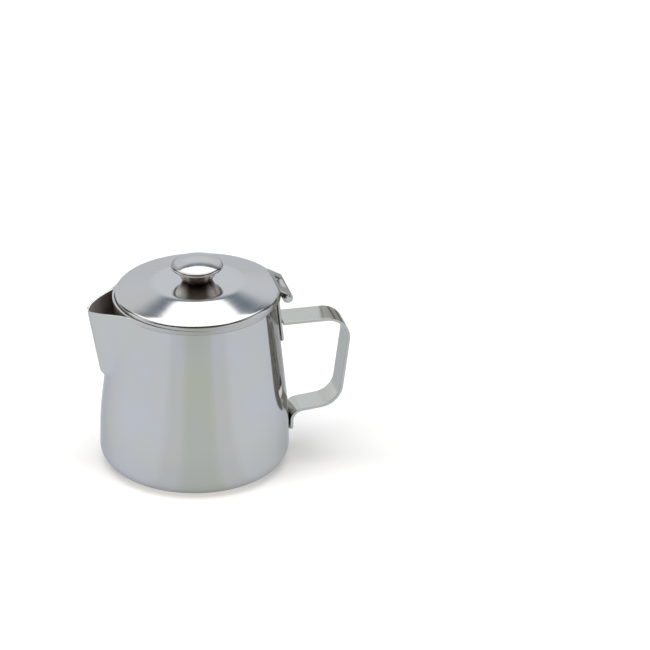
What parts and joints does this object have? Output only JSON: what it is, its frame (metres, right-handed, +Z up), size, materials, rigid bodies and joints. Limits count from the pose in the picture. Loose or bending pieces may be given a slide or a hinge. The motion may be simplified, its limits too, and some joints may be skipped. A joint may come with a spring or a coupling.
{
  "type": "teapot",
  "caption": "Small polished steel teapot with a tapered body, a pressed pouring beak, a flat strap handle and a hinged lid with a domed knob.",
  "frame": {"origin": "middle of the base, on the surface the pot stands on", "axes": "+Z up, +X towards the handle, the beak at -X, +Y along the lid's hinge"},
  "size_m": [0.1332, 0.095, 0.1094],
  "materials": {
    "polished_sheet": "mirror polished stainless sheet",
    "polished_strap": "polished stainless strap with softened edges",
    "pin_wire": "drawn wire with peened heads",
    "fastener": "machined"
  },
  "bodies": {
    "pot": {"body_shell": "polished_sheet", "spout_beak": "polished_sheet", "handle_strap": "polished_strap", "hinge_strap": "polished_strap"},
    "lid": {"lid_shell": "polished_sheet", "lid_hinge_leaf": "polished_strap", "hinge_pin": "pin_wire", "knob_cap": "polished_sheet", "knob_stem": "polished_sheet", "knob_washer": "fastener", "knob_screw": "fastener"}
  },
  "joints": [
    {"name": "lid_hinge", "type": "hinge", "parent": "pot", "child": "lid", "pos_m": [0.045, 0, 0.0888], "axis": [0, 1, 0], "range_deg": [0, 105]}
  ]
}
